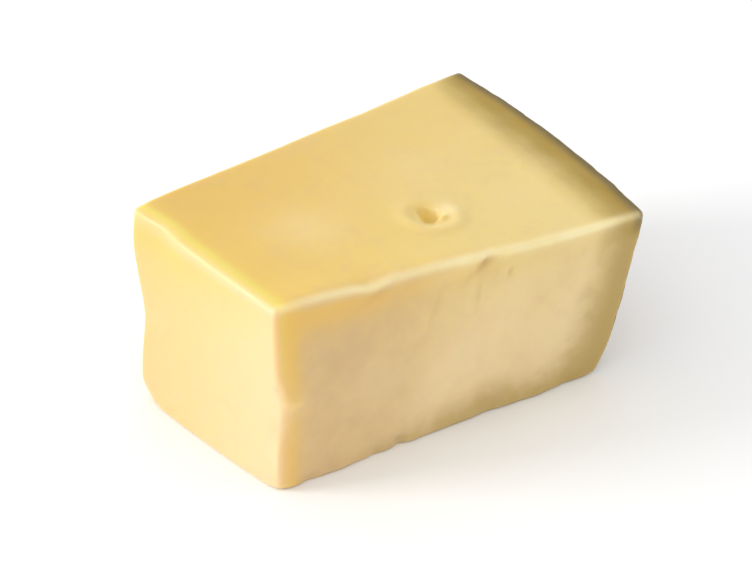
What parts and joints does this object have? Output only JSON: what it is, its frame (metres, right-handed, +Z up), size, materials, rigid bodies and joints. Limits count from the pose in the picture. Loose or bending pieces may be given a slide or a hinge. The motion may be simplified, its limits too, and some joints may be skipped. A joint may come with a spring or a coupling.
{
  "type": "block of emmental cheese",
  "caption": "Block of hard yellow cheese cut from a large wheel, wider at its curved rind end, with a small open eye in the top; rests on its flat foot.",
  "frame": {"origin": "on the surface it rests on, under the middle of the block's box", "axes": "+X along the wedge from the inner end to the rind, +Y towards the back cut, +Z up"},
  "size_m": [0.1522, 0.1042, 0.0746],
  "materials": {
    "cheese_paste": "pale golden yellow paste with a waxy sheen, olive brown towards the thin grey-brown rind"
  },
  "bodies": {
    "root": {"cheese_block": "cheese_paste"}
  },
  "joints": []
}
